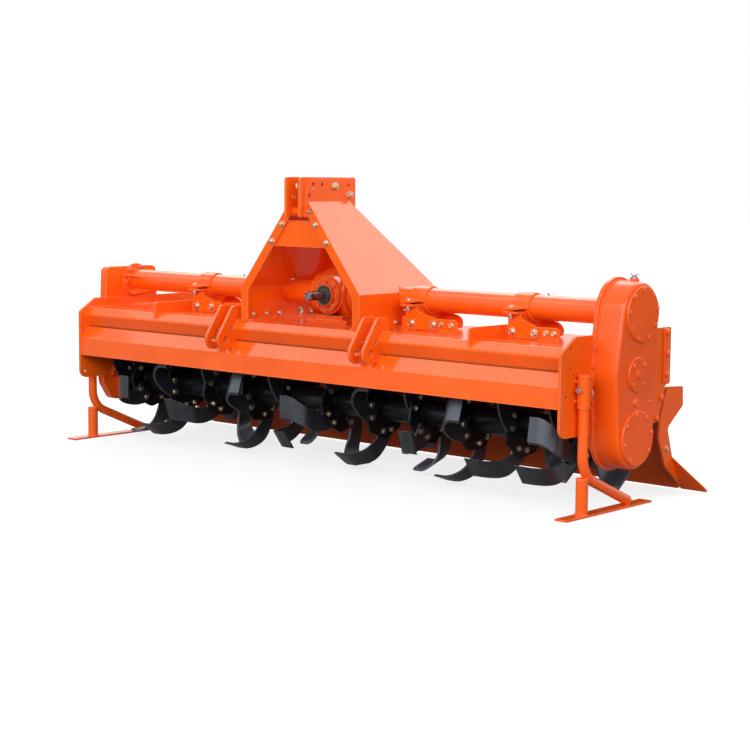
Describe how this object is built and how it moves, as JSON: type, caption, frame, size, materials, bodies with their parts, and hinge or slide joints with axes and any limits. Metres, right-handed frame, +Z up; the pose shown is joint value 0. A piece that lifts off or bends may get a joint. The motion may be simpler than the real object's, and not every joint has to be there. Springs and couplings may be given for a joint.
{
  "type": "rotary tiller",
  "caption": "Tractor-mounted rotary tiller with a three-point mast, splined input shaft, side gearcase, bladed rotor, hinged tailboard and swivelling parking stands.",
  "frame": {"origin": "on the floor, under the middle of the whole machine's bounding box", "axes": "+X along the rotor towards the side gearcase, -Y towards the tractor, +Z up"},
  "size_m": [2.729, 0.823, 1.124],
  "materials": {
    "orange_paint": "gloss enamel",
    "black_paint": "satin enamel",
    "yellow_zinc": "yellow zinc plate",
    "bright_steel": "machined"
  },
  "bodies": {
    "frame": {"front_beam": "orange_paint", "front_apron": "orange_paint", "rotor_hood": "orange_paint", "end_plate_left": "orange_paint", "end_plate_right": "orange_paint", "side_arm_left": "orange_paint", "gearcase_housing": "orange_paint", "gearcase_upper_cap": "orange_paint", "gearcase_idler_cap": "orange_paint", "gearcase_lower_cap": "orange_paint", "gearcase_breather": "bright_steel", "cross_tube_left": "orange_paint", "cross_tube_right": "orange_paint", "gearbox_housing": "orange_paint", "gearbox_input_cap": "orange_paint", "gearbox_rear_cover": "orange_paint", "mast_arm_left": "orange_paint", "mast_arm_right": "orange_paint", "mast_front_plate": "orange_paint", "mast_cheek_left": "orange_paint", "mast_cheek_right": "orange_paint", "mast_doublers": "orange_paint", "mast_spacers": "yellow_zinc", "mast_bolts": "yellow_zinc", "lower_hitch_left": "orange_paint", "lower_hitch_right": "orange_paint", "clamp_saddles": "orange_paint", "clamp_caps": "orange_paint", "clamp_pads": "orange_paint", "stand_socket_left": "orange_paint", "stand_socket_right": "orange_paint", "stand_lock_pins": "yellow_zinc", "hood_knuckles": "orange_paint", "hinge_pins": "yellow_zinc", "rod_brackets": "orange_paint", "rotor_bearing_left": "orange_paint", "rotor_bearing_right": "orange_paint"},
    "rotor": {"rotor_tube": "black_paint", "rotor_discs": "black_paint", "rotor_stubs": "black_paint", "blades_left_hand": "black_paint", "blades_right_hand": "black_paint"},
    "input_drive": {"input_shaft": "bright_steel"},
    "tailboard": {"tailboard_panel": "orange_paint", "tailboard_cheeks": "orange_paint", "tailboard_lugs": "orange_paint"},
    "swivel_left": {"rod_swivel_left": "orange_paint"},
    "swivel_right": {"rod_swivel_right": "orange_paint"},
    "rod_left": {"pressure_rod_left": "yellow_zinc", "pressure_spring_left": "black_paint"},
    "rod_right": {"pressure_rod_right": "yellow_zinc", "pressure_spring_right": "black_paint"},
    "parking_stand_left": {"stand_left": "orange_paint"},
    "parking_stand_right": {"stand_right": "orange_paint"}
  },
  "joints": [
    {"name": "rotor_spin", "type": "hinge", "parent": "frame", "child": "rotor", "pos_m": [-0.0085, -0.0705, 0.253], "axis": [1, 0, 0], "continuous": true},
    {"name": "input_spin", "type": "hinge", "parent": "frame", "child": "input_drive", "pos_m": [-0.0085, -0.2665, 0.675], "axis": [0, -1, 0], "continuous": true},
    {"name": "tailboard_hinge", "type": "hinge", "parent": "frame", "child": "tailboard", "pos_m": [-0.0085, 0.3015, 0.404], "axis": [1, 0, 0], "range_deg": [0, 45]},
    {"name": "rod_swivel_left", "type": "hinge", "parent": "frame", "child": "swivel_left", "pos_m": [-0.8085, 0.1775, 0.664], "axis": [1, 0, 0], "range_deg": [0, 12.92]},
    {"name": "rod_slide_left", "type": "slide", "parent": "swivel_left", "child": "rod_left", "axis": [0, -0.4951, 0.8688], "range_m": [0, 0.04246]},
    {"name": "rod_swivel_right", "type": "hinge", "parent": "frame", "child": "swivel_right", "pos_m": [0.7915, 0.1775, 0.664], "axis": [1, 0, 0], "range_deg": [0, 12.92]},
    {"name": "rod_slide_right", "type": "slide", "parent": "swivel_right", "child": "rod_right", "axis": [0, -0.4951, 0.8688], "range_m": [0, 0.04246]},
    {"name": "stand_swivel_left", "type": "hinge", "parent": "frame", "child": "parking_stand_left", "pos_m": [-1.2845, -0.2685, 0.43], "axis": [0, 0, 1], "range_deg": [0, 180]},
    {"name": "stand_swivel_right", "type": "hinge", "parent": "frame", "child": "parking_stand_right", "pos_m": [1.2675, -0.2685, 0.43], "axis": [0, 0, -1], "range_deg": [0, 180]}
  ],
  "couplings": [
    {"joint": "input_spin", "follows": "rotor_spin", "ratio": 2.7},
    {"joint": "rod_swivel_left", "follows": "tailboard_hinge", "ratio": 0.28487},
    {"joint": "rod_slide_left", "follows": "tailboard_hinge", "m_per_rad": 0.053681},
    {"joint": "rod_swivel_right", "follows": "tailboard_hinge", "ratio": 0.28487},
    {"joint": "rod_slide_right", "follows": "tailboard_hinge", "m_per_rad": 0.053681}
  ]
}
